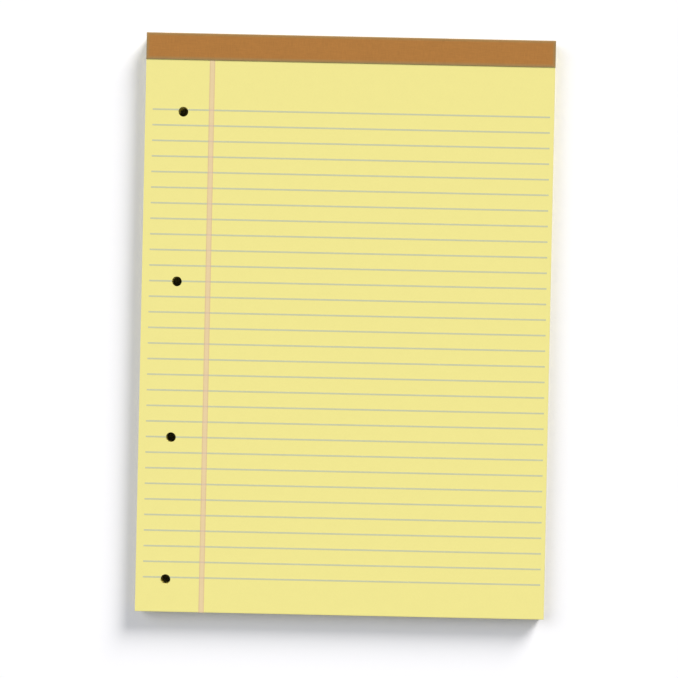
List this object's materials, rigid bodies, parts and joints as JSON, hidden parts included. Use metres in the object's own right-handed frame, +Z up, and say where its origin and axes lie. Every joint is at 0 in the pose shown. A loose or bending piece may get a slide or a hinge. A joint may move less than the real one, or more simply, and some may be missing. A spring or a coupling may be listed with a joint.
{
  "type": "legal pad",
  "caption": "Head-bound A4 pad of ruled yellow paper with a margin, filing holes down the left side, folded tape over the head and a chipboard back.",
  "frame": {"origin": "on the underside, at the middle of the pad's overall width and length", "axes": "+X across the leaves to the right, +Y towards the bound head, +Z up out of the written side"},
  "size_m": [0.21, 0.2972, 0.0093],
  "materials": {
    "yellow_paper": "uncoated yellow writing paper",
    "chipboard": "uncoated grey-brown chipboard",
    "brown_tape": "satin coated paper tape",
    "staple_wire": "galvanised wire",
    "feint_ink": "printed ink",
    "margin_ink": "printed ink",
    "margin_tint": "printed tint"
  },
  "bodies": {
    "root": {"sheet_block": "yellow_paper", "backing_board": "chipboard", "binding_tape": "brown_tape", "staples": "staple_wire", "feint_rules": "feint_ink", "margin_lines": "margin_ink", "margin_band": "margin_tint"}
  },
  "joints": []
}
